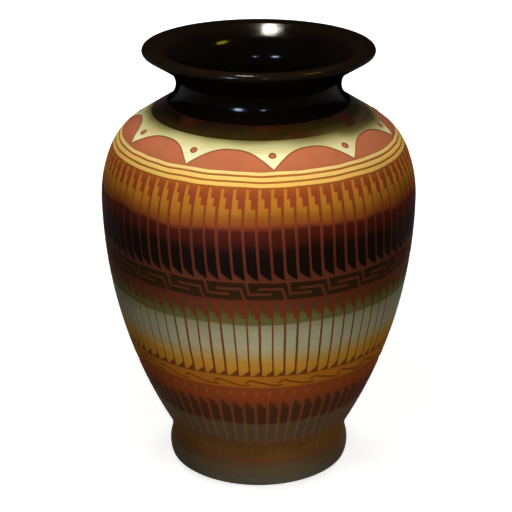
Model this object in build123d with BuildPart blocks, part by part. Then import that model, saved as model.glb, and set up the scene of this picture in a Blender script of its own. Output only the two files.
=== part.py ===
from build123d import *
from math import acos, asin, atan2, cos, radians, sin, sqrt
import os

# Earthenware jar: a turned foot, a full belly, a waisted neck and a flared lip.
# The clay is built up in sections that are luted together at keyed seams. Coloured slips coat the
# outside in bands, and black glaze covers the neck, the lip and the whole inside.
# The origin is the middle of the foot, on the surface that the jar stands on.

# Clay body, in millimetres, stacked from the foot upwards
wall = 6.5
lower_section = 96.0
lower_rise = 176.5
shoulder_rise = 78.5
lip_rise = 25.0
waist_radius = 62.5
belly_radius = 108.0
neck_radius = 55.4
lip_radius = 77.8

# Foot
recess_depth = 6.0
floor_thickness = 8.0
foot_ring_width = 12.5
ledge_width = 6.0
foot_swell = 20.0
foot_edge = 2.0
waist_rise = 5.5
waist_hollow = 24.0

# Shoulder: its slope is in degrees from the upright. One plain arc would join the belly to the slope.
# The belly is fuller than that arc, and the turn of the shoulder is tighter.
shoulder_slope = 58.0
belly_extra = 0.25
shoulder_turn = 0.6

# Neck and lip
neck_hollow = 14.5
lip_width = 11.5
lip_round = 1.8
mouth_round = 2.6
lip_crown = 20.0
crest_inset = 3.8
throat_limit = 0.98

# Keyed seams: a ridge under each section sits in a groove in the section below
key_width = 3.0
key_depth = 1.6

# Coats
slip_thickness = 0.4
glaze_thickness = 0.5
etched_line = 0.9

# Bands of slip from the foot upwards, with the bare clay between them
foot_slip_start = 1.0
foot_slip_height = 37.8
lower_bars_height = 38.0
bare_ring = 12.9
scroll_height = 9.3
celadon_height = 57.0
meander_gap = 2.4
meander_height = 11.7
sunset_gap = 1.8

# Bands of slip from the neck downwards
collar_height = 4.8
cream_height = 12.5
scallop_ground = 1.8
stripe_height = 1.9
stripe_gap = 1.2
stripe_count = 3

# Cutting shapes run this far past what they cut
overrun = 10.0

# Foot and waist: a swelling below and a hollow above, tangent to each other
foot_height = recess_depth + floor_thickness
foot_middle = foot_height / 2
foot_bore = waist_radius - foot_ring_width
base_radius = foot_bore + ledge_width
waist_height = foot_height + waist_rise
waist_centre = Vector(waist_radius + waist_hollow, waist_height)
foot_reach = sqrt((foot_swell + waist_hollow) ** 2 - (waist_height - foot_middle) ** 2)
foot_centre = Vector(waist_centre.X - foot_reach, foot_middle)
foot_point = foot_centre + (waist_centre - foot_centre).normalized() * foot_swell
foot_corner = Vector(foot_centre.X + sqrt(foot_swell**2 - foot_middle**2), 0)

# Lower wall: one long arc, tangent to the hollow of the waist and upright at the belly
belly_height = waist_height + lower_rise
belly_point = Vector(belly_radius, belly_height)
waist_offset = waist_centre.X - belly_radius
lower_square = waist_offset**2 + lower_rise**2 - waist_hollow**2
lower_curve = lower_square / (2 * (belly_radius - waist_radius))
lower_centre = Vector(belly_radius - lower_curve, belly_height)
lower_point = lower_centre + (waist_centre - lower_centre).normalized() * lower_curve

# Neck: a round hollow that starts where the slope of the shoulder ends
neck_height = belly_height + shoulder_rise
neck_centre = Vector(neck_radius + neck_hollow, neck_height)
slope_normal = Vector(cos(radians(shoulder_slope)), sin(radians(shoulder_slope)))
seat_point = neck_centre - slope_normal * neck_hollow

# Shoulder: the belly arc, a tighter arc, and the straight slope up to the neck
slope_offset = (seat_point - belly_point).dot(slope_normal)
plain_curve = slope_offset / (1 - slope_normal.X)
belly_curve = (1 + belly_extra) * plain_curve
shoulder_curve = shoulder_turn * plain_curve
slope_distance = belly_curve * slope_normal.X + slope_offset
turn_left = acos((slope_distance - shoulder_curve) / (belly_curve - shoulder_curve))
turn_angle = radians(shoulder_slope) - turn_left
turn_normal = Vector(cos(turn_angle), sin(turn_angle))
belly_centre = Vector(belly_radius - belly_curve, belly_height)
turn_point = belly_centre + turn_normal * belly_curve
shoulder_centre = turn_point - turn_normal * shoulder_curve
slope_point = shoulder_centre + slope_normal * shoulder_curve

# Lip: a low crown with a round outer edge and a round mouth edge
lip_top = neck_height + lip_rise
crest_point = Vector(lip_radius - crest_inset, lip_top)
crown_centre = Vector(crest_point.X, lip_top - lip_crown)


def edge_centre(across, edge_radius):
    """Centre of an edge round that runs smoothly into the crown of the lip."""
    drop = sqrt((lip_crown - edge_radius) ** 2 - (across - crest_point.X) ** 2)
    return Vector(across, crown_centre.Y + drop)


lip_centre = edge_centre(lip_radius - lip_round, lip_round)
mouth_centre = edge_centre(lip_radius - lip_width + mouth_round, mouth_round)
lip_crest = crown_centre + (lip_centre - crown_centre).normalized() * lip_crown
mouth_crest = crown_centre + (mouth_centre - crown_centre).normalized() * lip_crown

# Flare: a straight run tangent to the hollow of the neck and to the lip's outer edge
lip_line = lip_centre - neck_centre
flare_angle = atan2(lip_line.Y, lip_line.X) - asin((neck_hollow + lip_round) / lip_line.length)
flare_normal = Vector(-sin(flare_angle), cos(flare_angle))
flare_point = neck_centre + flare_normal * neck_hollow
lip_point = lip_centre - flare_normal * lip_round

# Inside: one wall's thickness behind the outside, then a funnel from the throat to the mouth
inner_floor = lower_centre.X + sqrt((lower_curve - wall) ** 2 - (belly_height - foot_height) ** 2)
inner_belly = Vector(belly_radius - wall, belly_height)
inner_turn = turn_point - turn_normal * wall
inner_slope = slope_point - slope_normal * wall
inner_seat = seat_point - slope_normal * wall
throat_waist = Vector(neck_radius - wall, neck_height)
throat_curve = min(neck_hollow + wall, throat_limit * (mouth_centre.Y - neck_height))
throat_centre = Vector(throat_waist.X + throat_curve, neck_height)
mouth_line = mouth_centre - throat_centre
funnel_angle = atan2(mouth_line.Y, mouth_line.X)
funnel_angle = funnel_angle - asin((throat_curve - mouth_round) / mouth_line.length)
funnel_normal = Vector(-sin(funnel_angle), cos(funnel_angle))
throat_point = throat_centre + funnel_normal * throat_curve
mouth_point = mouth_centre + funnel_normal * mouth_round

# Seams between the sections, each a line across the wall with its key at the middle of the wall
outside = belly_radius + overrun
lower_seam_height = foot_height + lower_section
lower_drop = belly_height - lower_seam_height
seam_outer = lower_centre.X + sqrt(lower_curve**2 - lower_drop**2)
seam_inner = lower_centre.X + sqrt((lower_curve - wall) ** 2 - lower_drop**2)
seat_inner = neck_centre.X - sqrt((neck_hollow + wall) ** 2 - (neck_height - seat_point.Y) ** 2)


def seam(height, middle):
    """Points of a keyed seam, from the axis outwards."""
    groove_start = (middle - key_width / 2, height)
    groove_end = (middle + key_width / 2, height)
    return [(0, height), groove_start, (middle, height - key_depth), groove_end, (outside, height)]


foot_seam = [(0, foot_height), (outside, foot_height)]
lower_seam = seam(lower_seam_height, (seam_outer + seam_inner) / 2)
belly_seam = seam(belly_height, belly_radius - wall / 2)
seat_seam = seam(seat_point.Y, (seat_point.X + seat_inner) / 2)
throat_seam = seam(neck_height, neck_radius - wall / 2)
above_lip = [(0, lip_top + overrun), (outside, lip_top + overrun)]

# Edges of the coats, from the foot up and from the neck down
foot_slip_top = foot_slip_start + foot_slip_height
lower_bars_start = foot_slip_top + etched_line
lower_bars_top = lower_bars_start + lower_bars_height
scroll_start = lower_bars_top + bare_ring
scroll_top = scroll_start + scroll_height
celadon_start = scroll_top + etched_line
celadon_top = celadon_start + celadon_height
meander_start = celadon_top + meander_gap
meander_top = meander_start + meander_height
sunset_start = meander_top + sunset_gap
neck_glaze_start = seat_point.Y + etched_line / 2
collar_top = neck_glaze_start - etched_line
collar_start = collar_top - collar_height
cream_top = collar_start - etched_line
cream_start = cream_top - cream_height
stripe_pitch = stripe_height + stripe_gap
stripe_tops = [cream_start - scallop_ground - row * stripe_pitch for row in range(stripe_count)]
sunset_top = stripe_tops[-1] - stripe_pitch

os.makedirs("parts", exist_ok=True)


def bow(centre, start, end):
    """Round stretch of an outline about a centre."""
    across = (start - centre) + (end - centre)
    ThreePointArc(start, centre + across.normalized() * (start - centre).length, end)


# Half section of the jar as a solid lump, bounded by its outside
with BuildSketch() as lump:
    with BuildLine():
        Line((-overrun, 0), foot_corner)
        bow(foot_centre, foot_corner, foot_point)
        bow(waist_centre, foot_point, lower_point)
        bow(lower_centre, lower_point, belly_point)
        bow(belly_centre, belly_point, turn_point)
        bow(shoulder_centre, turn_point, slope_point)
        Line(slope_point, seat_point)
        bow(neck_centre, seat_point, flare_point)
        Line(flare_point, lip_point)
        bow(lip_centre, lip_point, lip_crest)
        bow(crown_centre, lip_crest, crest_point)
        Polyline(crest_point, (-overrun, lip_top), (-overrun, 0))
    make_face()
    fillet(lump.vertices().group_by(Axis.Y)[0].sort_by(Axis.X)[-1], radius=foot_edge)

# Half section of the space inside, open above the mouth
with BuildSketch() as hollow:
    with BuildLine():
        Line((-overrun, foot_height), (inner_floor, foot_height))
        bow(lower_centre, Vector(inner_floor, foot_height), inner_belly)
        bow(belly_centre, inner_belly, inner_turn)
        bow(shoulder_centre, inner_turn, inner_slope)
        Line(inner_slope, inner_seat)
        bow(neck_centre, inner_seat, throat_waist)
        bow(throat_centre, throat_waist, throat_point)
        Line(throat_point, mouth_point)
        bow(mouth_centre, mouth_point, mouth_crest)
        bow(crown_centre, mouth_crest, crest_point)
        Line(crest_point, (crest_point.X, lip_top + overrun))
        Polyline((crest_point.X, lip_top + overrun), (-overrun, lip_top + overrun), (-overrun, foot_height))
    make_face()

# Half section of the clay, and of the coats on its outside and inside
with BuildSketch() as clay:
    add(lump.sketch)
    add(hollow.sketch, mode=Mode.SUBTRACT)

with BuildSketch() as slip_skin:
    offset(lump.sketch, amount=slip_thickness)
    add(lump.sketch, mode=Mode.SUBTRACT)

with BuildSketch() as glaze_skin:
    offset(lump.sketch, amount=glaze_thickness)
    add(lump.sketch, mode=Mode.SUBTRACT)

with BuildSketch() as lining_skin:
    add(hollow.sketch)
    offset(hollow.sketch, amount=-glaze_thickness, mode=Mode.SUBTRACT)

# Foot ring: stands on the table and carries the base disc on a ledge
with BuildPart() as foot_ring:
    with BuildSketch(Plane.XZ):
        add(clay.sketch)
        Polygon(
            (foot_bore, 0),
            (outside, 0),
            (outside, foot_height),
            (base_radius, foot_height),
            (base_radius, recess_depth),
            (foot_bore, recess_depth),
            align=None,
            mode=Mode.INTERSECT,
        )
    revolve(axis=Axis.Z)
foot_ring.part.label = "foot_ring"
export_step(foot_ring.part, "parts/foot_ring.step")

# Base disc: the floor of the jar, dropped into the foot ring
with BuildPart() as base_disc:
    with BuildSketch(Plane.XY.offset(recess_depth)):
        Circle(base_radius)
    extrude(amount=floor_thickness)
base_disc.part.label = "base_disc"
export_step(base_disc.part, "parts/base_disc.step")

# Wall sections, from the foot to the lip
sections = {
    "lower_wall": (foot_seam, lower_seam),
    "belly_wall": (lower_seam, belly_seam),
    "shoulder": (belly_seam, seat_seam),
    "neck": (seat_seam, throat_seam),
    "rim": (throat_seam, above_lip),
}
for name, (seam_below, seam_above) in sections.items():
    with BuildPart() as section:
        with BuildSketch(Plane.XZ):
            add(clay.sketch)
            Polygon(*seam_below, *reversed(seam_above), align=None, mode=Mode.INTERSECT)
        revolve(axis=Axis.Z)
    section.part.label = name
    export_step(section.part, f"parts/{name}.step")

# Bands of coloured slip on the outside
slips = {
    "foot_slip": [(foot_slip_start, foot_slip_top)],
    "lower_bar_slip": [(lower_bars_start, lower_bars_top)],
    "scroll_slip": [(scroll_start, scroll_top)],
    "celadon_slip": [(celadon_start, celadon_top)],
    "meander_slip": [(meander_start, meander_top)],
    "sunset_slip": [(sunset_start, sunset_top)],
    "stripe_slip": [(top - stripe_height, top) for top in stripe_tops],
    "cream_slip": [(cream_start, cream_top)],
    "collar_slip": [(collar_start, collar_top)],
}
for name, bands in slips.items():
    with BuildPart() as slip:
        for low, high in bands:
            with BuildSketch(Plane.XZ):
                add(slip_skin.sketch)
                corners = [(0, low), (outside, low), (outside, high), (0, high)]
                Polygon(*corners, align=None, mode=Mode.INTERSECT)
            revolve(axis=Axis.Z)
    slip.part.label = name
    export_step(slip.part, f"parts/{name}.step")

# Black glaze on the neck and over the lip to its crest
with BuildPart() as neck_glaze:
    with BuildSketch(Plane.XZ):
        add(glaze_skin.sketch)
        Polygon(
            (0, neck_glaze_start),
            (outside, neck_glaze_start),
            (outside, lip_top + overrun),
            (crest_point.X, lip_top + overrun),
            (crest_point.X, lip_centre.Y),
            (0, lip_centre.Y),
            align=None,
            mode=Mode.INTERSECT,
        )
    revolve(axis=Axis.Z)
neck_glaze.part.label = "neck_glaze"
export_step(neck_glaze.part, "parts/neck_glaze.step")

# Black glaze that lines the inside, from the crest of the lip to the floor
lining_top = lip_top + glaze_thickness
with BuildPart() as inside_glaze:
    with BuildSketch(Plane.XZ):
        add(lining_skin.sketch)
        Polygon(
            (0, foot_height),
            (outside, foot_height),
            (outside, lining_top),
            (0, lining_top),
            align=None,
            mode=Mode.INTERSECT,
        )
    revolve(axis=Axis.Z)
inside_glaze.part.label = "inside_glaze"
export_step(inside_glaze.part, "parts/inside_glaze.step")
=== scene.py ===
import math
import random
import bmesh
import bpy
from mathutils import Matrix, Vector, noise


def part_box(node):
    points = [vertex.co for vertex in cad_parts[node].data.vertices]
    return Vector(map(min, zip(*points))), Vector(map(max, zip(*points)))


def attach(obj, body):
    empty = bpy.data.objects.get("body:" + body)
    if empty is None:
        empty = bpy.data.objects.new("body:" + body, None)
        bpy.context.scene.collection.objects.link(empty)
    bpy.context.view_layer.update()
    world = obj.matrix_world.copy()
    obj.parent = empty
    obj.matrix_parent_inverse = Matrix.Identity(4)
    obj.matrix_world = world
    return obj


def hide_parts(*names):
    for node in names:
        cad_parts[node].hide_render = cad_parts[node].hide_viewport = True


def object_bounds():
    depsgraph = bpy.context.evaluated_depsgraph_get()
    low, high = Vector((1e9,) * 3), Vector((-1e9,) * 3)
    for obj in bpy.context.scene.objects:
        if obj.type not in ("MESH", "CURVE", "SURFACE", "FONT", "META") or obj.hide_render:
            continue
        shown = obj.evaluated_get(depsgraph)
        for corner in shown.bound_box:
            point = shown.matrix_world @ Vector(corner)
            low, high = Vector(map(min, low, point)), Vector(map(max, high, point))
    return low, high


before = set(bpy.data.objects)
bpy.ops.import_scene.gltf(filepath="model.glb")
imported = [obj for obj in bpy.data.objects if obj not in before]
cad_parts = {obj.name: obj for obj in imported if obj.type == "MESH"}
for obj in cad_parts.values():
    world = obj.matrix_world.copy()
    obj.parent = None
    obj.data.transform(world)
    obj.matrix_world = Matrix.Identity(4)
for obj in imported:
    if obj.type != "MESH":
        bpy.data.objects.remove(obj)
cad_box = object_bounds()
jar_height = cad_box[1].z

# Clay body: seven sections of red earthenware from the foot ring to the rim, thrown on a wheel and
# luted together. The clay is rubbed smooth, and it shows bare in every scraped line and ring.


def paint(red, green, blue):
    """A colour as a screen shows it, from 0 to 255, as the linear colour that a shader takes."""
    shown = [channel / 255 for channel in (red, green, blue)]
    return [c / 12.92 if c < 0.04045 else ((c + 0.055) / 1.055) ** 2.4 for c in shown] + [1]


def add_node(tree, kind, settings=None, **inputs):
    """Adds a node with its settings; an input is a value or a link, and _ in its name is a space."""
    made = tree.nodes.new("ShaderNode" + kind)
    for name, value in (settings or {}).items():
        setattr(made, name, value)
    for name, value in inputs.items():
        socket = made.inputs[name.replace("_", " ")]
        if isinstance(value, bpy.types.NodeSocket):
            tree.links.new(value, socket)
        else:
            socket.default_value = value
    return made


def maths(tree, operation, *terms):
    """The result of one Math node on values or links."""
    made = tree.nodes.new("ShaderNodeMath")
    made.operation = operation
    for socket, term in zip(made.inputs, terms):
        if isinstance(term, bpy.types.NodeSocket):
            tree.links.new(term, socket)
        else:
            socket.default_value = term
    return made.outputs[0]


def blend_colors(tree, share, first, second, way="MIX"):
    """Two colours blended, by a share that is a link or a value."""
    made = tree.nodes.new("ShaderNodeMix")
    made.data_type = "RGBA"
    made.blend_type = way
    for socket, term in zip((made.inputs[0], made.inputs[6], made.inputs[7]), (share, first, second)):
        if isinstance(term, bpy.types.NodeSocket):
            tree.links.new(term, socket)
        else:
            socket.default_value = term
    return made.outputs[2]


def new_group(name, inputs, outputs):
    """A shader node group with named sockets: the tree, its inputs to read and its outputs to fill."""
    tree = bpy.data.node_groups.new(name, "ShaderNodeTree")
    kinds = {"Color": "NodeSocketColor"}
    for label, value in inputs.items():
        kind = kinds.get(label, "NodeSocketFloat")
        tree.interface.new_socket(label, in_out="INPUT", socket_type=kind).default_value = value
    for label in outputs:
        kind = kinds.get(label, "NodeSocketFloat")
        tree.interface.new_socket(label, in_out="OUTPUT", socket_type=kind)
    return tree, tree.nodes.new("NodeGroupInput").outputs, tree.nodes.new("NodeGroupOutput").inputs


def swing(tree, texture, amount):
    """A texture turned into a swing to both sides of nought, by an amount."""
    return maths(tree, "MULTIPLY", maths(tree, "MULTIPLY_ADD", texture, 2, -1), amount)


def set_stops(ramp, stops):
    """Gives a colour ramp its stops, each a spot from 0 to 1 and a colour."""
    elements = ramp.color_ramp.elements
    for step, (spot, color) in enumerate(stops):
        stop = elements[step] if step < 2 else elements.new(spot)
        stop.position = spot
        stop.color = color


# Uneven handwork, for clay and slip alike: cloudy tone, streaks of the brush as the jar turned, fine
# specks, a slight swing of hue from warm to green, and a faint tooth to the surface
cloud_scale = 42
hue_scale = 60
hue_seed = 3
speck_scale = 1100
streak_scale = 24
streak_stretch = (1, 1, 14)
warm_tint = (1.12, 0.95, 0.92, 1)
green_tint = (0.88, 1.05, 1.08, 1)
roughness_swing = 0.12
cloud_tooth = 2
handwork, given, result = new_group(
    "handwork",
    {"Color": paint(188, 98, 64), "Cloud": 0.1, "Streak": 0.1, "Speck": 0.05, "Roughness": 0.6},
    ["Color", "Roughness", "Height"],
)
place = add_node(handwork, "TexCoord").outputs["Object"]
clouds = add_node(handwork, "TexNoise", Vector=place, Scale=cloud_scale, Detail=3).outputs[0]
hues = add_node(
    handwork, "TexNoise", {"noise_dimensions": "4D"}, Vector=place, W=hue_seed, Scale=hue_scale
).outputs[0]
specks = add_node(handwork, "TexNoise", Vector=place, Scale=speck_scale, Detail=2).outputs[0]
turned = add_node(handwork, "Mapping", Vector=place, Scale=streak_stretch).outputs[0]
streaks = add_node(handwork, "TexNoise", Vector=turned, Scale=streak_scale, Detail=3).outputs[0]
cloud_tone = swing(handwork, clouds, given["Cloud"])
streak_tone = swing(handwork, streaks, given["Streak"])
speck_tone = swing(handwork, specks, given["Speck"])
tone = maths(handwork, "ADD", maths(handwork, "ADD", cloud_tone, streak_tone), speck_tone)
tone = maths(handwork, "ADD", tone, 1)
toned = add_node(handwork, "VectorMath", {"operation": "SCALE"}, Vector=given["Color"], Scale=tone)
tint = blend_colors(handwork, hues, warm_tint, green_tint)
tinted = blend_colors(handwork, 1.0, toned.outputs[0], tint, "MULTIPLY")
handwork.links.new(tinted, result["Color"])
uneven = swing(handwork, clouds, roughness_swing)
handwork.links.new(maths(handwork, "ADD", given["Roughness"], uneven), result["Roughness"])
handwork.links.new(maths(handwork, "MULTIPLY_ADD", clouds, cloud_tooth, specks), result["Height"])

# Height on the jar as a share of a band, for colour that fades with height. It drifts softly. Slant
# lifts the fade on one side and lowers it on the other, and Sides moves it on both sides alike; they
# stand for a spray from one side and for painted shade.
gust_scale = 24
band_share, given, result = new_group(
    "band_share",
    {"Low": 0, "High": 1, "Drift": 0, "Slant": 0, "Sides": 0},
    ["Share"],
)
place = add_node(band_share, "TexCoord").outputs["Object"]
along = add_node(band_share, "SeparateXYZ", Vector=place).outputs
lean = maths(band_share, "MULTIPLY_ADD", along["X"], given["Sides"], given["Slant"])
height = maths(band_share, "MULTIPLY_ADD", along["X"], lean, along["Z"])
gusts = add_node(band_share, "TexNoise", Vector=place, Scale=gust_scale, Detail=2).outputs[0]
drift = maths(band_share, "MULTIPLY", maths(band_share, "ADD", gusts, -0.5), given["Drift"])
share = add_node(
    band_share,
    "MapRange",
    Value=maths(band_share, "ADD", height, drift),
    From_Min=given["Low"],
    From_Max=given["High"],
)
band_share.links.new(share.outputs[0], result["Share"])

slip_gloss = 0.005
slip_tooth = 0.00003


def fired_surface(
    name, colors, drift=0.0, slant=0.0, sides=0.0, cloud=0.08, streak=0.08, speck=0.05, roughness=0.6
):
    """A clay or slip finish of colours that fade into each other, each at its share of the height."""
    material = bpy.data.materials.new(name)
    material.use_nodes = True
    tree = material.node_tree
    shader = tree.nodes["Principled BSDF"]
    low, high = colors[0][0], colors[-1][0]
    band = add_node(
        tree,
        "Group",
        {"node_tree": band_share},
        Low=low * jar_height,
        High=high * jar_height,
        Drift=drift,
        Slant=slant,
        Sides=sides,
    )
    ramp = add_node(tree, "ValToRGB", Fac=band.outputs["Share"])
    set_stops(ramp, [((level - low) / (high - low), color) for level, color in colors])
    laid = add_node(
        tree,
        "Group",
        {"node_tree": handwork},
        Color=ramp.outputs[0],
        Cloud=cloud,
        Streak=streak,
        Speck=speck,
        Roughness=roughness,
    )
    bump = add_node(tree, "Bump", Height=laid.outputs["Height"], Distance=slip_tooth)
    shader.inputs["Specular IOR Level"].default_value = slip_gloss
    tree.links.new(laid.outputs["Color"], shader.inputs["Base Color"])
    tree.links.new(laid.outputs["Roughness"], shader.inputs["Roughness"])
    tree.links.new(bump.outputs[0], shader.inputs["Normal"])
    return material


# Below the shoulder the clay is darker, most of all through the middle of the jar: partly slip left in
# the scraped lines, partly painted shade where the wall turns away from the light above.
clay = fired_surface(
    "clay",
    [
        (0.0, paint(150, 92, 62)),
        (0.13, paint(150, 105, 72)),
        (0.18, paint(150, 104, 72)),
        (0.2, paint(142, 78, 52)),
        (0.25, paint(142, 74, 46)),
        (0.264, paint(161, 77, 36)),
        (0.302, paint(163, 80, 35)),
        (0.306, paint(148, 74, 20)),
        (0.332, paint(146, 72, 24)),
        (0.34, paint(128, 70, 36)),
        (0.47, paint(122, 70, 40)),
        (0.5, paint(116, 55, 31)),
        (0.53, paint(110, 50, 32)),
        (0.555, paint(96, 52, 34)),
        (0.578, paint(104, 53, 33)),
        (0.62, paint(98, 48, 30)),
        (0.67, paint(114, 51, 35)),
        (0.7, paint(132, 62, 30)),
        (0.725, paint(140, 69, 26)),
        (0.76, paint(155, 73, 36)),
        (0.785, paint(176, 100, 36)),
        (0.8, paint(184, 108, 40)),
        (0.81, paint(196, 114, 77)),
        (0.845, paint(200, 117, 81)),
        (0.8535, paint(92, 58, 26)),
        (0.858, paint(58, 28, 14)),
        (1.0, paint(62, 22, 14)),
    ],
    cloud=0.12,
    speck=0.08,
)
for section in ("foot_ring", "base_disc", "lower_wall", "belly_wall", "shoulder", "neck", "rim"):
    for material_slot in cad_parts[section].material_slots:
        material_slot.material = clay

# Foot slip: a thin grey-olive slip brushed over the foot and the waist, up to the lowest bars.
# A row of short strokes in terracotta and moss slip is painted on it above the waist, half wiped off.

# The clay's outside as arcs that run into each other, from the foot up; a hollow has a negative curve.
# The belly's arc is flatter than one plain arc to the shoulder would be, and the shoulder's is tighter.
belly_radius = 0.108
belly_height = 0.196
foot_swell = 0.020
foot_middle = 0.007
waist_hollow = -0.024
waist_centre = Vector((0.0865, 0.0195))
neck_hollow = -0.0145
neck_centre = Vector((0.0699, 0.2745))
shoulder_slope = math.radians(58)
belly_extra = 0.25
shoulder_turn = 0.6

swell_rise = waist_centre.y - foot_middle
swell_reach = math.sqrt((foot_swell - waist_hollow) ** 2 - swell_rise**2)
foot_centre = Vector((waist_centre.x - swell_reach, foot_middle))
waist_reach = waist_centre.x - belly_radius
lower_square = waist_reach**2 + (belly_height - waist_centre.y) ** 2 - waist_hollow**2
lower_curve = lower_square / (2 * (belly_radius - waist_centre.x - waist_hollow))
lower_centre = Vector((belly_radius - lower_curve, belly_height))
slope_normal = Vector((math.cos(shoulder_slope), math.sin(shoulder_slope)))
seat_point = neck_centre + slope_normal * neck_hollow
slope_offset = (seat_point - Vector((belly_radius, belly_height))).dot(slope_normal)
plain_curve = slope_offset / (1 - slope_normal.x)
belly_curve = (1 + belly_extra) * plain_curve
shoulder_curve = shoulder_turn * plain_curve
slope_distance = belly_curve * slope_normal.x + slope_offset
turn_left = math.acos((slope_distance - shoulder_curve) / (belly_curve - shoulder_curve))
turn_angle = shoulder_slope - turn_left
turn_normal = Vector((math.cos(turn_angle), math.sin(turn_angle)))
belly_centre = Vector((belly_radius - belly_curve, belly_height))
shoulder_centre = belly_centre + turn_normal * (belly_curve - shoulder_curve)
slope_point = shoulder_centre + slope_normal * shoulder_curve
waist_normal = (waist_centre - foot_centre).normalized()
lower_normal = (waist_centre - lower_centre).normalized()
wall_arcs = [
    (foot_centre.y + waist_normal.y * foot_swell, foot_centre, foot_swell),
    (waist_centre.y + lower_normal.y * waist_hollow, waist_centre, waist_hollow),
    (belly_height, lower_centre, lower_curve),
    (belly_centre.y + turn_normal.y * belly_curve, belly_centre, belly_curve),
    (slope_point.y, shoulder_centre, shoulder_curve),
]


def wall_at(height):
    """The radius of the clay's outside at a height, up to the neck, and its outward normal."""
    for top, centre, curve in wall_arcs:
        if height <= top:
            rise = (height - centre.y) / curve
            normal = Vector((math.sqrt(1 - rise**2), rise))
            return centre.x + normal.x * curve, normal
    up_slope = (height - slope_point.y) / (seat_point.y - slope_point.y)
    return slope_point.lerp(seat_point, up_slope).x, slope_normal


slip_thickness = 0.00025
mark_thickness = 0.0003
slip_bite = 0.0001
coat_row = 0.0015
fine = 1e-6
crease = math.radians(40)
upwards = Vector((0, 1, 0))
sideways = Vector((1, 0, 0))
waver_seed = 7
noise.seed_set(waver_seed)


def cut_across(sheet, spots, direction):
    """Cuts a flat sheet along straight lines, so that it can bend round the wall there."""
    for spot in spots:
        cut = {"plane_co": direction * spot, "plane_no": direction, "dist": fine}
        bmesh.ops.bisect_plane(sheet, geom=sheet.verts[:] + sheet.edges[:] + sheet.faces[:], **cut)


def unsteady(sheet, girth, amount, length):
    """Moves a flat sheet's lines as an unsteady hand does, by about an amount over about a length."""
    for vert in sheet.verts:
        turn = vert.co.x / girth
        around = Vector((math.cos(turn) * girth, math.sin(turn) * girth, vert.co.y))
        vert.co += amount * noise.noise_vector(around / length) * Vector((1, 1, 0))


def finish_piece(mesh, node, material, name="coat"):
    """Makes a closed mesh a piece that stands for a node, smooth but for its creases."""
    bmesh.ops.recalc_face_normals(mesh, faces=mesh.faces[:])
    for face in mesh.faces:
        face.smooth = True
    for edge in mesh.edges:
        edge.smooth = edge.is_manifold and edge.calc_face_angle() < crease
    data = bpy.data.meshes.new(node + "_" + name)
    mesh.to_mesh(data)
    mesh.free()
    data.materials.append(material)
    piece = bpy.data.objects.new(data.name, data)
    bpy.context.scene.collection.objects.link(piece)
    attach(piece, "root")
    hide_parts(node)


def lay_coat(sheet, girth, node, material, name="coat", thickness=slip_thickness):
    """Wraps a flat sheet of slip round the wall, thickens it, and puts it in its plain coat's place."""
    for vert in sheet.verts:
        turn = vert.co.x / girth
        radius, normal = wall_at(vert.co.y)
        reach = radius - normal.x * slip_bite
        rise = vert.co.y - normal.y * slip_bite
        vert.co = (reach * math.sin(turn), -reach * math.cos(turn), rise)
    bmesh.ops.remove_doubles(sheet, verts=sheet.verts[:], dist=fine)
    bmesh.ops.recalc_face_normals(sheet, faces=sheet.faces[:])
    raised = bmesh.ops.extrude_face_region(sheet, geom=sheet.faces[:], use_keep_orig=True)["geom"]
    for vert in raised:
        if isinstance(vert, bmesh.types.BMVert):
            outwards = Vector((vert.co.x, vert.co.y, 0)).normalized()
            normal = wall_at(vert.co.z)[1]
            vert.co += (outwards * normal.x + Vector((0, 0, normal.y))) * (slip_bite + thickness)
    finish_piece(sheet, node, material, name)


def band_of(node):
    """The lowest and highest point of a coat, and the girth of the wall at its middle as a radius."""
    lowest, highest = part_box(node)
    return lowest.z, highest.z, wall_at((lowest.z + highest.z) / 2)[0]


def spread(first, last, gap):
    """Evenly spaced spots between two ends, about a gap apart."""
    count = max(1, round((last - first) / gap))
    return [first + (last - first) * step / count for step in range(1, count)]


def add_face(sheet, points):
    """Adds one flat face to a flat sheet, of points by their way round and their height."""
    sheet.faces.new([sheet.verts.new((x, y, 0)) for x, y in points])


def add_box(sheet, left, right, low, high):
    """Adds a rectangle to a flat sheet."""
    add_face(sheet, [(left, low), (right, low), (right, high), (left, high)])


ring_cuts = 144


def ring_sheet(low, high, girth, row):
    """A flat band, once round the jar, cut into rows and columns."""
    sheet = bmesh.new()
    whole = 2 * math.pi * girth
    add_box(sheet, 0, whole, low, high)
    cut_across(sheet, spread(low, high, row), upwards)
    cut_across(sheet, spread(0, whole, whole / ring_cuts), sideways)
    return sheet


foot_olive = fired_surface(
    "foot_olive",
    [
        (0.0, paint(122, 116, 98)),
        (0.018, paint(117, 109, 92)),
        (0.03, paint(116, 96, 70)),
        (0.05, paint(114, 90, 62)),
        (0.058, paint(124, 87, 52)),
        (0.068, paint(135, 85, 47)),
        (0.09, paint(143, 96, 45)),
        (0.115, paint(136, 94, 51)),
        (0.13, paint(134, 92, 52)),
    ],
    drift=0.004,
    cloud=0.22,
    streak=0.22,
    roughness=0.7,
)
low, high, girth = band_of("foot_slip")
lay_coat(ring_sheet(low, high, girth, coat_row), girth, "foot_slip", foot_olive)

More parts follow.
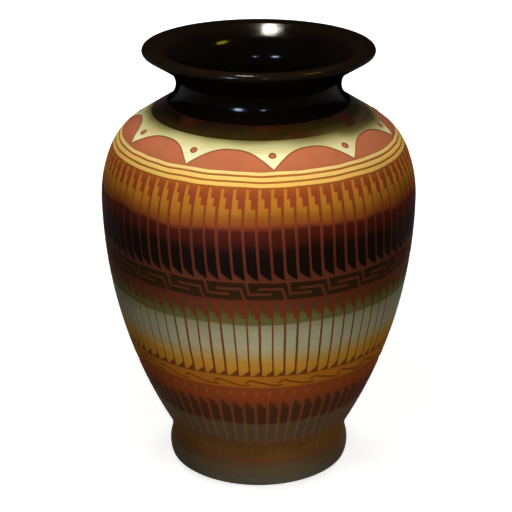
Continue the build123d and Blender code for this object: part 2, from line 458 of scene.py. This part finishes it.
# The half-wiped row: under each line of the bars above, a short end and a longer stroke beside it, both
# terracotta, with a stroke of moss at its right. One unsteady hand draws every uneven size on the jar.
lower_bar_count = 66
lower_bar_turn = math.radians(0.65)
step_line = 0.0012
step_shift = 0.0024
step_spread = 0.0009
step_ends = (0.1195 * jar_height, 0.1285 * jar_height)
step_strokes = (0.07 * jar_height, 0.106 * jar_height)
stroke_widths = (0.5, 1.1)
moss_widths = (0.8, 1.5)
moss_gaps = (0.4, 1)
hand = random.Random(7)
foot_terracotta = fired_surface(
    "foot_terracotta",
    [(0.06, paint(149, 93, 51)), (0.1, paint(158, 102, 52)), (0.13, paint(151, 105, 65))],
    drift=0.004,
    cloud=0.3,
    roughness=0.7,
)
foot_moss = fired_surface(
    "foot_moss",
    [(0.06, paint(125, 99, 39)), (0.1, paint(121, 103, 39)), (0.13, paint(109, 97, 50))],
    drift=0.004,
    cloud=0.3,
    roughness=0.7,
)
pitch = 2 * math.pi * girth / lower_bar_count
steps, strokes = bmesh.new(), bmesh.new()
for number in range(lower_bar_count):
    left = number * pitch - lower_bar_turn * girth - step_line
    add_box(steps, left, left + step_line, *step_ends)
    left += hand.uniform(-1, 1) * step_spread - step_shift
    stroke_low, stroke_high = (level + hand.uniform(-1, 1) * step_shift for level in step_strokes)
    right = left + step_line * hand.uniform(*stroke_widths)
    add_box(steps, left, right, stroke_low, stroke_high)
    left = right + step_spread * hand.uniform(*moss_gaps)
    stroke_low, stroke_high = (level + hand.uniform(0, 1) * step_shift for level in step_strokes)
    right = left + step_line * hand.uniform(*moss_widths)
    add_box(strokes, left, right, stroke_low, stroke_high)
for sheet, slip, name in ((steps, foot_terracotta, "steps"), (strokes, foot_moss, "strokes")):
    cut_across(sheet, spread(low, high, coat_row), upwards)
    unsteady(sheet, girth, amount=0.0005, length=0.01)
    lay_coat(sheet, girth, "foot_slip", slip, name, mark_thickness)

# Lower bars: a row of upright bars in dark brown over grey-green, stepped at the top. The slip is
# sprayed on and scraped apart with a stylus down to the clay, and a row of pale ticks stands above.
lower_bar_widths = (0.28, 0.5, 0.71)
lower_bar_steps = (0.2425 * jar_height, 0.252 * jar_height)
lower_bar_slack = (0.95, 1.05)
step_slack = 0.0006
bar_row = 0.003
lower_brown = fired_surface(
    "lower_brown",
    [
        (0.129, paint(122, 92, 60)),
        (0.138, paint(116, 96, 70)),
        (0.186, paint(115, 93, 66)),
        (0.194, paint(88, 56, 34)),
        (0.238, paint(89, 55, 32)),
        (0.254, paint(106, 58, 30)),
        (0.264, paint(140, 70, 34)),
        (0.268, paint(166, 82, 42)),
        (0.274, paint(174, 91, 50)),
        (0.292, paint(174, 91, 50)),
    ],
    drift=0.008,
    cloud=0.14,
)
low, high, girth = band_of("lower_bar_slip")
pitch = 2 * math.pi * girth / lower_bar_count
tick_width = 0.0017
tick_shift = -0.0002
tick_low, tick_high = 0.276 * jar_height, 0.2915 * jar_height


def add_stepped_bar(sheet, foot, top, middle, lower_step, upper_step, high):
    """Adds a bar to a flat sheet: its foot from left to right, then two steps in to a narrow top."""
    left, full = foot[0][0], foot[-1][0]
    right_side = [(full, lower_step), (middle, lower_step), (middle, upper_step), (top, upper_step)]
    add_face(sheet, foot + right_side + [(top, high), (left, high)])
    cut_across(sheet, [top, middle], sideways)


def bar_edges(left, pitch, widths, slack):
    """The right edges of a bar from its shares of the pitch, each a little wide or narrow."""
    return [left + pitch * width * hand.uniform(*slack) for width in widths]


def bar_steps(heights, slack):
    """The heights of a bar's steps, each a little high or low."""
    return [height + hand.uniform(-slack, slack) for height in heights]


bars = bmesh.new()
for number in range(lower_bar_count):
    left = number * pitch - lower_bar_turn * girth
    top, middle, full = bar_edges(left, pitch, lower_bar_widths, lower_bar_slack)
    lower_step, upper_step = bar_steps(lower_bar_steps, step_slack)
    add_stepped_bar(bars, [(left, low), (full, low)], top, middle, lower_step, upper_step, high)
    tick_left = left - pitch * (1 - lower_bar_widths[2]) / 2 + tick_shift
    add_box(bars, tick_left, tick_left + tick_width, tick_low, tick_high)
cut_across(bars, spread(low, high, bar_row), upwards)
unsteady(bars, girth, amount=0.0004, length=0.02)
lay_coat(bars, girth, "lower_bar_slip", lower_brown)

# Scroll band: a ring of gold slip with a running scroll scraped through it. Each scroll starts in a
# small hook, and its long tail falls under the hook of the next.
scroll_count = 27
scroll_line = 0.0016
scroll_turn = math.radians(6.3)
scroll_gold = fired_surface(
    "scroll_gold",
    [(0.3, paint(186, 116, 34)), (0.318, paint(195, 124, 36)), (0.334, paint(192, 122, 38))],
    drift=0.004,
    cloud=0.14,
)


def add_outline(sheet, points):
    """Adds one closed outline to a flat sheet, of points by their way round and their height."""
    corners = [sheet.verts.new((x, y, 0)) for x, y in points]
    for pair in zip(corners, corners[1:] + corners[:1]):
        sheet.edges.new(pair)


def stroke(points, width):
    """The outline of a line scraped through points, round at its two ends."""
    points = [Vector(point) for point in points]
    sides = []
    for before, point, after in zip(points[:1] + points, points, points[1:] + points[-1:]):
        along = (after - before).normalized()
        sides.append((point, Vector((-along.y, along.x)) * width / 2))
    first, last = (points[1] - points[0]).normalized(), (points[-1] - points[-2]).normalized()
    start_tip, end_tip = points[0] - first * width / 2, points[-1] + last * width / 2
    upper = [point + side for point, side in sides]
    lower = [point - side for point, side in sides]
    return upper + [end_tip] + lower[::-1] + [start_tip]


low, high, girth = band_of("scroll_slip")
pitch = 2 * math.pi * girth / scroll_count
rise = high - low
scroll_hook = [(0.1, 0.44), (0.17, 0.62), (0.3, 0.64), (0.44, 0.5)]
scroll_tail = [(0.6, 0.42), (0.78, 0.26), (0.98, 0.19), (1.2, 0.2)]
seam_path = [(0.0, 1.0), (0.03, 0.36), (0.3, 0.36), (0.3, 0.0)]
whole = 2 * math.pi * girth
first = -scroll_turn * girth
seam = [(first + x * pitch, low + y * rise) for x, y in seam_path]
scrolls = bmesh.new()
add_outline(scrolls, seam + [(x + whole, y) for x, y in reversed(seam)])
for number in range(scroll_count):
    path = [(first + (number + x) * pitch, low + y * rise) for x, y in scroll_hook + scroll_tail]
    add_outline(scrolls, stroke(path, scroll_line))
bmesh.ops.triangle_fill(scrolls, use_beauty=True, edges=scrolls.edges[:])
cut_across(scrolls, spread(low, high, bar_row), upwards)
cut_across(scrolls, spread(-whole, 2 * whole, whole / ring_cuts), sideways)
unsteady(scrolls, girth, amount=0.0005, length=0.015)
lay_coat(scrolls, girth, "scroll_slip", scroll_gold)

# Celadon bars: tall bars that step in towards the top and end in slant feather tips. The slip is
# sprayed from olive through pale celadon to gold, and lines between the bars are scraped to the clay.
celadon_count = 78
celadon_turn = math.radians(0.4)
celadon = fired_surface(
    "celadon",
    [
        (0.335, paint(200, 136, 43)),
        (0.35, paint(211, 150, 49)),
        (0.362, paint(213, 152, 53)),
        (0.378, paint(207, 163, 82)),
        (0.39, paint(198, 173, 111)),
        (0.405, paint(188, 179, 139)),
        (0.415, paint(187, 181, 146)),
        (0.44, paint(176, 173, 141)),
        (0.46, paint(161, 160, 125)),
        (0.4705, paint(150, 150, 113)),
        (0.4735, paint(110, 107, 63)),
        (0.49, paint(104, 100, 54)),
        (0.505, paint(90, 74, 36)),
        (0.527, paint(82, 58, 26)),
    ],
    drift=0.004,
    cloud=0.16,
    streak=0.14,
)
low, high, girth = band_of("celadon_slip")
pitch = 2 * math.pi * girth / celadon_count
celadon_widths = (0.29, 0.55, 0.825)
celadon_slack = (0.95, 1.04)
celadon_steps = (0.501 * jar_height, 0.487 * jar_height)
celadon_tip = 0.0045
celadon_tip_slack = (0.8, 1.15)
celadon_tip_bend = (0.3, 0.02)
celadon_lean = math.radians(1.0) * girth


def lean_bars(sheet, low, high, lean, sway=0.0):
    """Leans upright bars to the right towards their lower end, after a sway to the left."""
    for vert in sheet.verts:
        down = (high - vert.co.y) / (high - low)
        vert.co.x += lean * down - sway * 4 * down * (1 - down)


bars = bmesh.new()
for number in range(celadon_count):
    left = number * pitch + celadon_turn * girth
    top, middle, full = bar_edges(left, pitch, celadon_widths, celadon_slack)
    upper_step, lower_step = bar_steps(celadon_steps, step_slack)
    tip = low + celadon_tip * hand.uniform(*celadon_tip_slack)
    bend = (left + celadon_tip_bend[0] * (full - left), low + celadon_tip_bend[1] * celadon_tip)
    add_stepped_bar(bars, [(left, low), bend, (full, tip)], top, middle, lower_step, upper_step, high)
cut_across(bars, spread(low, high, bar_row), upwards)
lean_bars(bars, low, high, celadon_lean)
unsteady(bars, girth, amount=0.00035, length=0.02)
lay_coat(bars, girth, "celadon_slip", celadon)

# Meander: a dark olive band of slip with a running key scraped through it. Each unit has an L-shaped
# hook that starts at the upper edge and a 7-shaped hook that ends at the lower edge.
meander_count = 25
meander_line = 0.0021
meander_turn = math.radians(4.6)
meander_olive = fired_surface(
    "meander_olive",
    [(0.53, paint(56, 38, 16)), (0.555, paint(48, 32, 13)), (0.576, paint(50, 30, 12))],
    drift=0.004,
    cloud=0.16,
)
low, high, girth = band_of("meander_slip")
pitch = 2 * math.pi * girth / meander_count
rise = high - low
whole = 2 * math.pi * girth


def hook_sides(points, width):
    """Both sides of a scraped hook with one corner, from its open end to its closed end and back."""
    points = [Vector(point) for point in points]
    runs = [(after - before).normalized() for before, after in zip(points, points[1:])]
    across = [Vector((-run.y, run.x)) for run in runs]
    corner = (across[0] + across[1]) / (1 + across[0].dot(across[1]))
    offsets = [across[0], corner, across[1]]
    left = [point + offset * width / 2 for point, offset in zip(points, offsets)]
    right = [point - offset * width / 2 for point, offset in zip(points, offsets)]
    return left + right[::-1]


def key_unit(number, points):
    """Points of one unit of the key, given as shares of its width and height, on the flat sheet."""
    return [((number + x) * pitch - meander_turn * girth, low + y * rise) for x, y in points]


upper_hook = [(0.02, 1), (0.08, 0.345), (0.62, 0.345)]
lower_hook = [(0.97, 0), (0.88, 0.655), (0.3, 0.655)]
upper_start = [(-0.05, 1)]
lower_end = [(1.07, 0)]
key_seam = [(0.95, 1), (1.0, 0.45), (1.05, 0.1), (1.07, 0)]
upper_edge, lower_edge = [], []
for number in range(meander_count):
    upper_edge += key_unit(number, upper_start)
    upper_edge += hook_sides(key_unit(number, upper_hook), meander_line)[::-1]
    lower_edge += hook_sides(key_unit(number, lower_hook), meander_line)
    lower_edge += key_unit(number, lower_end)
seam = key_unit(meander_count - 1, key_seam)
first_seam = [(x - whole, y) for x, y in seam]
ground = bmesh.new()
add_outline(ground, upper_edge + seam[:-1] + lower_edge[::-1] + first_seam[:0:-1])
bmesh.ops.triangle_fill(ground, use_beauty=True, edges=ground.edges[:])
cut_across(ground, spread(low, high, bar_row), upwards)
cut_across(ground, spread(-whole, 2 * whole, whole / ring_cuts), sideways)
unsteady(ground, girth, amount=0.0005, length=0.02)
lay_coat(ground, girth, "meander_slip", meander_olive)

# Sunset bars: the tallest row, stepped at the top and cut to slant feather tips below. The slip is
# sprayed from gold through red-brown to near black, and narrow lines of clay are scraped between.
sunset_count = 80
sunset = fired_surface(
    "sunset",
    [
        (0.579, paint(22, 13, 7)),
        (0.632, paint(24, 13, 8)),
        (0.646, paint(34, 15, 9)),
        (0.658, paint(58, 22, 12)),
        (0.67, paint(73, 27, 15)),
        (0.686, paint(79, 30, 18)),
        (0.692, paint(120, 55, 28)),
        (0.6975, paint(144, 72, 32)),
        (0.7115, paint(158, 96, 26)),
        (0.7265, paint(181, 117, 36)),
        (0.748, paint(201, 128, 39)),
        (0.776, paint(205, 126, 46)),
    ],
    drift=0.012,
    cloud=0.16,
    streak=0.12,
)
low, high, girth = band_of("sunset_slip")
pitch = 2 * math.pi * girth / sunset_count
sunset_widths = (0.25, 0.48, 0.79)
sunset_slack = (0.92, 1.05)
sunset_steps = (0.757 * jar_height, 0.738 * jar_height)
sunset_step_slack = 0.0007
sunset_tip = 0.0055
sunset_tip_slack = (0.85, 1.15)
sunset_tip_bend = (0.4, 0.45)
sunset_lean = math.radians(1.0) * girth
sunset_sway = math.radians(0.8) * girth
bars = bmesh.new()
for number in range(sunset_count):
    left = number * pitch
    top, middle, full = bar_edges(left, pitch, sunset_widths, sunset_slack)
    upper_step, lower_step = bar_steps(sunset_steps, sunset_step_slack)
    tip = low + sunset_tip * hand.uniform(*sunset_tip_slack)
    bend = (left + sunset_tip_bend[0] * (full - left), low + sunset_tip_bend[1] * sunset_tip)
    add_stepped_bar(bars, [(left, tip), bend, (full, low)], top, middle, lower_step, upper_step, high)
cut_across(bars, spread(low, high, bar_row), upwards)
lean_bars(bars, low, high, sunset_lean, sunset_sway)
unsteady(bars, girth, amount=0.0004, length=0.02)
lay_coat(bars, girth, "sunset_slip", sunset)

# Stripes: three rings of gold slip round the shoulder, laid with a brush as the jar turns.
# The brush wanders a little, so the rings and the lines of clay between them vary in width.
stripe_gold = fired_surface(
    "stripe_gold",
    [(0.778, paint(248, 201, 98)), (0.793, paint(249, 211, 115)), (0.806, paint(249, 221, 143))],
    drift=0.002,
    cloud=0.1,
)
stripe_bands = [(0.7790, 0.7862), (0.7898, 0.7968), (0.8005, 0.8058)]
girth = band_of("stripe_slip")[2]
stripes = bmesh.new()
whole = 2 * math.pi * girth
for lower, upper in stripe_bands:
    add_box(stripes, 0, whole, lower * jar_height, upper * jar_height)
cut_across(stripes, spread(0, whole, whole / ring_cuts), sideways)
unsteady(stripes, girth, amount=0.0004, length=0.012)
lay_coat(stripes, girth, "stripe_slip", stripe_gold)

# Cream band: cream slip sprayed round the top of the shoulder and cut below into ten scallops, which
# show the clay. A thin brown line is drawn under each arch, and a brown ring round a dot of bare clay
# above each point.
scallop_count = 10
scallop_turn = math.radians(6)
scallop_rise = 0.009
scallop_dip = 0.0006
arch_half = 12
arch_fullness = 2.6
dot_radius = 0.0025
dot_height = 0.8315 * jar_height
dot_points = 16
mark_line = 0.00045
ring_line = 0.0009
cream_waver = {"amount": 0.0006, "length": 0.03}
# The cream darkens to olive towards the collar, and lower down at the sides and the right: partly olive
# overspray, partly painted shadow of the lip.
cream = fired_surface(
    "cream",
    [
        (0.81, paint(251, 248, 199)),
        (0.829, paint(246, 242, 192)),
        (0.839, paint(226, 219, 161)),
        (0.846, paint(198, 192, 136)),
        (0.8535, paint(136, 128, 77)),
        (0.858, paint(96, 88, 46)),
        (0.868, paint(52, 46, 20)),
    ],
    drift=0.006,
    slant=0.02,
    sides=0.38,
    cloud=0.06,
    streak=0.2,
)
low, high, girth = band_of("cream_slip")
whole = 2 * math.pi * girth
pitch = whole / scallop_count
start = scallop_turn * girth - pitch / 2
arches = []
for number in range(scallop_count):
    for step in range(-arch_half, arch_half):
        away = (step / arch_half) ** 2
        around = start + (number + 0.5) * pitch + math.copysign(away, step) * pitch / 2
        rise = scallop_rise * (1 - (1 - away) ** arch_fullness)
        arches.append((around, low - scallop_dip + rise))
end = (start + whole, arches[0][1])
scallops = bmesh.new()
add_outline(scallops, arches + [end, (start + whole, high), (start, high)])
dot_slope = wall_at(dot_height)[1].x
dot_stretch = girth / wall_at(dot_height)[0]


def dot_outline(number, radius):
    """The outline of a dot above a point on the flat sheet, drawn out to be round on the jar."""
    middle = start + (number + 0.5) * pitch
    turns = [2 * math.pi * step / dot_points for step in range(dot_points)]
    wide, tall = radius * dot_stretch, radius * dot_slope
    return [(middle + wide * math.cos(turn), dot_height + tall * math.sin(turn)) for turn in turns]


for number in range(scallop_count):
    add_outline(scallops, dot_outline(number, dot_radius))
bmesh.ops.triangle_fill(scallops, use_beauty=True, edges=scallops.edges[:])
cut_across(scallops, spread(low, high, coat_row), upwards)
cut_across(scallops, [start + spot for spot in spread(0, whole, whole / ring_cuts)], sideways)
unsteady(scallops, girth, **cream_waver)
lay_coat(scallops, girth, "cream_slip", cream)

line_brown = fired_surface(
    "line_brown",
    [(0.81, paint(158, 94, 50)), (0.846, paint(146, 86, 48))],
    cloud=0.2,
)
marks = bmesh.new()
next_round = [(around + whole, height) for around, height in arches]
for number in range(scallop_count):
    point = (2 * number + 1) * arch_half
    arch = (arches + next_round)[point + 1 : point + 2 * arch_half]
    add_outline(marks, stroke([(around, height - mark_line / 2) for around, height in arch], mark_line))
    add_outline(marks, dot_outline(number, dot_radius))
    add_outline(marks, dot_outline(number, dot_radius - ring_line))
bmesh.ops.triangle_fill(marks, use_beauty=True, edges=marks.edges[:])
cut_across(marks, spread(low, high, coat_row), upwards)
unsteady(marks, girth, **cream_waver)
lay_coat(marks, girth, "cream_slip", line_brown, "marks", mark_thickness)

# Collar: a narrow ring of dark olive slip at the foot of the neck, brushed on over the edge of the
# cream and rubbed thin in places, so that the red of the clay shows through.
collar_spill = 0.0005
collar_lap = 0.0012
collar_row = 0.0012
rub_scale = 36
rub_start, rub_end = 0.5, 0.66
rubbed_red = paint(66, 26, 13)
# The collar darkens towards the neck and on the left: partly its dark olive slip, partly painted shade
# under the lip.
collar_olive = fired_surface(
    "collar_olive",
    [
        (0.844, paint(88, 76, 40)),
        (0.856, paint(46, 38, 12)),
        (0.866, paint(44, 36, 10)),
        (0.874, paint(38, 24, 9)),
        (0.884, paint(22, 16, 8)),
    ],
    drift=0.006,
    slant=-0.05,
    cloud=0.3,
    streak=0.5,
    roughness=0.5,
)
tree = collar_olive.node_tree
place = add_node(tree, "TexCoord").outputs["Object"]
rubs = add_node(tree, "TexNoise", Vector=place, Scale=rub_scale, Detail=2).outputs[0]
thin = add_node(tree, "MapRange", Value=rubs, From_Min=rub_start, From_Max=rub_end).outputs[0]
base = tree.nodes["Principled BSDF"].inputs["Base Color"]
tree.links.new(blend_colors(tree, thin, base.links[0].from_socket, rubbed_red), base)
low, high, girth = band_of("collar_slip")
collar = ring_sheet(low - collar_lap, high + collar_spill, girth, collar_row)
lay_coat(collar, girth, "collar_slip", collar_olive, thickness=mark_thickness)

# Black glaze: a gloss glaze poured over the lip, outside down to the foot of the neck and inside down
# to the floor. Outside and inside meet at the crest of the lip, which is browner: partly glaze that
# breaks thin, partly painted sheen.
glaze_thickness = 0.0005
wall = 0.0065
lip_radius = 0.0778
lip_width = 0.0115
lip_round = 0.0018
mouth_round = 0.0026
lip_crown = 0.02
crest_inset = 0.0038
lip_rise = 0.025
floor_height = 0.014
glaze_steps = 160
arc_step = math.radians(7)

lip_top = neck_centre.y + lip_rise
crown_centre = Vector((lip_radius - crest_inset, lip_top - lip_crown))


def edge_centre(across, edge_round):
    """The centre of an edge round that runs smoothly into the crown of the lip."""
    drop = math.sqrt((lip_crown - edge_round) ** 2 - (across - crown_centre.x) ** 2)
    return Vector((across, crown_centre.y + drop))


lip_centre = edge_centre(lip_radius - lip_round, lip_round)
mouth_centre = edge_centre(lip_radius - lip_width + mouth_round, mouth_round)
lip_line = lip_centre - neck_centre
flare_turn = math.asin((lip_round - neck_hollow) / lip_line.length)
flare = math.atan2(lip_line.y, lip_line.x) - flare_turn
funnel_line = mouth_centre - neck_centre
throat = wall - neck_hollow
funnel_turn = math.acos((throat - mouth_round) / funnel_line.length)
funnel = math.atan2(funnel_line.y, funnel_line.x) + funnel_turn


def run_of_arcs(arcs, offset):
    """Points along arcs, moved out by an offset; an arc is a centre, a curve and its normal's angles."""
    points = []
    for centre, curve, start, stop in arcs:
        steps = max(2, math.ceil(abs(stop - start) / arc_step))
        for step in range(steps + 1):
            angle = start + (stop - start) * step / steps
            points.append(centre + Vector((math.cos(angle), math.sin(angle))) * (curve + offset))
    return points


def spun_glaze(path, back, node):
    """A coat of glaze spun round the jar from its face and its back, both from the same end."""
    coat = bmesh.new()
    corners = [coat.verts.new((point.x, 0, point.y)) for point in path + back[::-1]]
    sides = zip(corners, corners[1:] + corners[:1])
    loop = [coat.edges.new(pair) for pair in sides if max(vert.co.x for vert in pair) > fine]
    turn = {"axis": (0, 0, 1), "cent": (0, 0, 0), "angle": 2 * math.pi}
    bmesh.ops.spin(coat, geom=corners + loop, steps=glaze_steps, use_merge=True, **turn)
    bmesh.ops.remove_doubles(coat, verts=coat.verts[:], dist=fine)
    finish_piece(coat, node, black_glaze)


pool_scale = 30
ripple_scale = 90
ripple_depth = 0.00012
breaking_sheen_start, breaking_sheen_end = 0.2925, 0.298
smooth_glaze = 0.07
rippled_glaze = 0.1
mirror_strength = 0.013
mirror_fades, mirror_gone = 0.45, 0.75
black_glaze = bpy.data.materials.new("black_glaze")
black_glaze.use_nodes = True
tree = black_glaze.node_tree
shader = tree.nodes["Principled BSDF"]
place = add_node(tree, "TexCoord").outputs["Object"]
pools = add_node(tree, "TexNoise", Vector=place, Scale=pool_scale, Detail=2).outputs[0]
ripples = add_node(tree, "TexNoise", Vector=place, Scale=ripple_scale, Detail=2).outputs[0]
glaze_color = blend_colors(tree, pools, paint(9, 6, 4), paint(15, 10, 8))
level = add_node(tree, "SeparateXYZ", Vector=place).outputs["Z"]
# The crest of the lip turns brown: partly glaze that breaks thin there, partly painted sheen.
breaking_sheen = add_node(tree, "MapRange", Value=level, From_Min=breaking_sheen_start, From_Max=breaking_sheen_end)
glaze_color = blend_colors(tree, breaking_sheen.outputs[0], glaze_color, paint(23, 16, 9))
tree.links.new(glaze_color, shader.inputs["Base Color"])
roughness = maths(tree, "MULTIPLY_ADD", ripples, rippled_glaze, smooth_glaze)
tree.links.new(roughness, shader.inputs["Roughness"])
bump = add_node(tree, "Bump", Height=ripples, Distance=ripple_depth)
tree.links.new(bump.outputs[0], shader.inputs["Normal"])

# The mirror of the glaze is weak and fades at grazing angles, where a white floor would whiten the black
mirror = add_node(
    tree,
    "MapRange",
    Value=add_node(tree, "LayerWeight").outputs["Facing"],
    From_Min=mirror_fades,
    From_Max=mirror_gone,
    To_Min=mirror_strength,
    To_Max=0,
)
tree.links.new(mirror.outputs[0], shader.inputs["Specular IOR Level"])

quarter = math.pi / 2
flare_normal = flare - quarter
seat_normal = math.asin((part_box("neck_glaze")[0].z - neck_centre.y) / neck_hollow)
lip_normal = math.atan2(lip_centre.y - crown_centre.y, lip_centre.x - crown_centre.x)
outside_arcs = [
    (neck_centre, neck_hollow, seat_normal, flare_normal),
    (lip_centre, lip_round, flare_normal, lip_normal),
    (crown_centre, lip_crown, lip_normal, quarter),
]
outside_face = run_of_arcs(outside_arcs, glaze_thickness)
outside_back = run_of_arcs(outside_arcs, -slip_bite)
spun_glaze(outside_face, outside_back, "neck_glaze")

mouth_normal = math.atan2(mouth_centre.y - crown_centre.y, mouth_centre.x - crown_centre.x)
over_mouth = [
    (crown_centre, lip_crown, quarter, mouth_normal),
    (mouth_centre, mouth_round, mouth_normal, funnel),
]
down_inside = [
    (neck_centre, neck_hollow, funnel - math.pi, shoulder_slope),
    (shoulder_centre, shoulder_curve, shoulder_slope, turn_angle),
    (belly_centre, belly_curve, turn_angle, 0),
    (lower_centre, lower_curve, 0, math.atan2(lower_normal.y, lower_normal.x)),
]


def inside_path(offset):
    """The inside from the lip's crest down to the middle of the floor, moved inwards by an offset."""
    path = run_of_arcs(over_mouth, offset) + run_of_arcs(down_inside, -wall - offset)
    floor = floor_height + offset
    return path + [Vector((path[-1].x, floor)), Vector((0, floor))]


spun_glaze(inside_path(glaze_thickness), inside_path(-slip_bite), "inside_glaze")

# Studio: a plain pale floor that runs out to a white horizon, soft lamps close above and in front,
# one at the right and two behind, lamps that show only as glints in the glaze, and a camera a little
# above the lip.
floor_reach = 4.0
floor_gap = 0.0003
near_white, far_white = 0.7, 0.96
near_edge, far_edge = 0.4, 1.4
floor_mesh = bmesh.new()
bmesh.ops.create_grid(floor_mesh, x_segments=1, y_segments=1, size=floor_reach)
bmesh.ops.translate(floor_mesh, verts=floor_mesh.verts[:], vec=(0, 0, -floor_gap))
floor_data = bpy.data.meshes.new("floor")
floor_mesh.to_mesh(floor_data)
floor_mesh.free()
floor = bpy.data.objects.new("floor", floor_data)
bpy.context.scene.collection.objects.link(floor)


def seen_share(tree):
    """One for a ray that shows the background, straight or in gloss or glass, and nought for light."""
    ray = add_node(tree, "LightPath").outputs
    seen = maths(tree, "MAXIMUM", ray["Is Camera Ray"], ray["Is Glossy Ray"])
    return maths(tree, "MAXIMUM", seen, ray["Is Transmission Ray"])


pale_floor = bpy.data.materials.new("pale_floor")
pale_floor.use_nodes = True
tree = pale_floor.node_tree
tree.nodes.remove(tree.nodes["Principled BSDF"])
seen = seen_share(tree)
floor_color = blend_colors(tree, seen, paint(70, 68, 66), paint(240, 240, 240))
matt = add_node(tree, "BsdfDiffuse", Color=floor_color)
spot = add_node(tree, "TexCoord").outputs["Object"]
away = add_node(tree, "VectorMath", {"operation": "LENGTH"}, Vector=spot).outputs["Value"]
white = add_node(
    tree,
    "MapRange",
    Value=away,
    From_Min=near_edge,
    From_Max=far_edge,
    To_Min=near_white,
    To_Max=far_white,
)
strength = maths(tree, "MULTIPLY", seen, white.outputs[0])
glow = add_node(tree, "Emission", Color=paint(255, 255, 255), Strength=strength)
both = add_node(tree, "AddShader")
tree.links.new(matt.outputs[0], both.inputs[0])
tree.links.new(glow.outputs[0], both.inputs[1])
tree.links.new(both.outputs[0], tree.nodes["Material Output"].inputs["Surface"])
floor_data.materials.append(pale_floor)

fill_light = 0.018
backdrop_light = [(0.06, 1.0), (0.5, 0.03), (0.12, 0.3), (0.2, 0.06)]
world = bpy.data.worlds.new("studio")
world.use_nodes = True
tree = world.node_tree
sky = tree.nodes["Background"].inputs
direction = add_node(tree, "TexCoord").outputs["Generated"]
rise = add_node(tree, "SeparateXYZ", Vector=direction).outputs["Z"]
backdrop = add_node(tree, "ValToRGB", Fac=rise)
set_stops(backdrop, [(height, (light, light, light, 1)) for height, light in backdrop_light])
horizon = backdrop.outputs[0]
level = add_node(tree, "MapRange", Value=seen_share(tree), To_Min=fill_light, To_Max=horizon).outputs[0]
tree.links.new(level, sky["Strength"])
sky["Color"].default_value = paint(255, 255, 255)
bpy.context.scene.world = world

aim_height = 0.1483


def add_lamp(name, turn, lift, distance, size, power, color, mirrored=False, tall=1):
    """A soft lamp that faces the jar, by its turn from the front and its lift above the level.

    A mirrored lamp shows in gloss alone, and any other lamp lights without showing in gloss.
    """
    data = bpy.data.lights.new(name, "AREA")
    data.shape = "ELLIPSE"
    data.size = size
    data.size_y = size * tall
    data.energy = power
    data.color = color[:3]
    lamp = bpy.data.objects.new(name, data)
    turn, lift = math.radians(turn), math.radians(lift)
    back = Vector((math.sin(turn) * math.cos(lift), -math.cos(turn) * math.cos(lift), math.sin(lift)))
    lamp.location = Vector((0, 0, aim_height)) + back * distance
    lamp.rotation_euler = back.to_track_quat("Z", "Y").to_euler()
    lamp.visible_glossy = mirrored
    lamp.visible_diffuse = not mirrored
    lamp.visible_camera = False
    bpy.context.scene.collection.objects.link(lamp)


# Each lamp has its turn, lift, distance, size, power and colour
warm_white = paint(255, 250, 243)
add_lamp("key", -10, 60, 0.42, 0.2, 0.96, warm_white)
add_lamp("front", -4, 2, 0.26, 0.12, 0.13, warm_white, tall=2)
add_lamp("low", -4, -12, 0.45, 0.08, 0.16, warm_white)
add_lamp("right", 75, 8, 1.5, 0.5, 2.7, warm_white)
add_lamp("back_left", -145, 25, 1.6, 0.8, 8, warm_white)
add_lamp("back_right", 145, 25, 1.6, 0.8, 8, warm_white)
add_lamp("glint", -154, 79, 1.6, 0.18, 123, paint(255, 246, 232), mirrored=True)
add_lamp("yellow_glint", 91, 63, 1.6, 0.3, 31, paint(255, 225, 60), mirrored=True)
add_lamp("sky_glint", -27, 14, 1.6, 0.34, 169, paint(190, 215, 255), mirrored=True)
add_lamp("front_glint", 6, 15, 1.6, 0.16, 22, paint(210, 220, 255), mirrored=True)

camera_lift = math.radians(21.77)
camera_distance = 1.1052
camera_data = bpy.data.cameras.new("camera")
camera_data.sensor_width = 36
camera_data.lens = 110.5
camera_data.shift_x = -0.0053
camera = bpy.data.objects.new("camera", camera_data)
back = Vector((0, -math.cos(camera_lift), math.sin(camera_lift)))
camera.location = Vector((0, 0, aim_height)) + back * camera_distance
camera.rotation_euler = back.to_track_quat("Z", "Y").to_euler()
bpy.context.scene.collection.objects.link(camera)
bpy.context.scene.camera = camera
bpy.context.scene.view_settings.view_transform = "Standard"
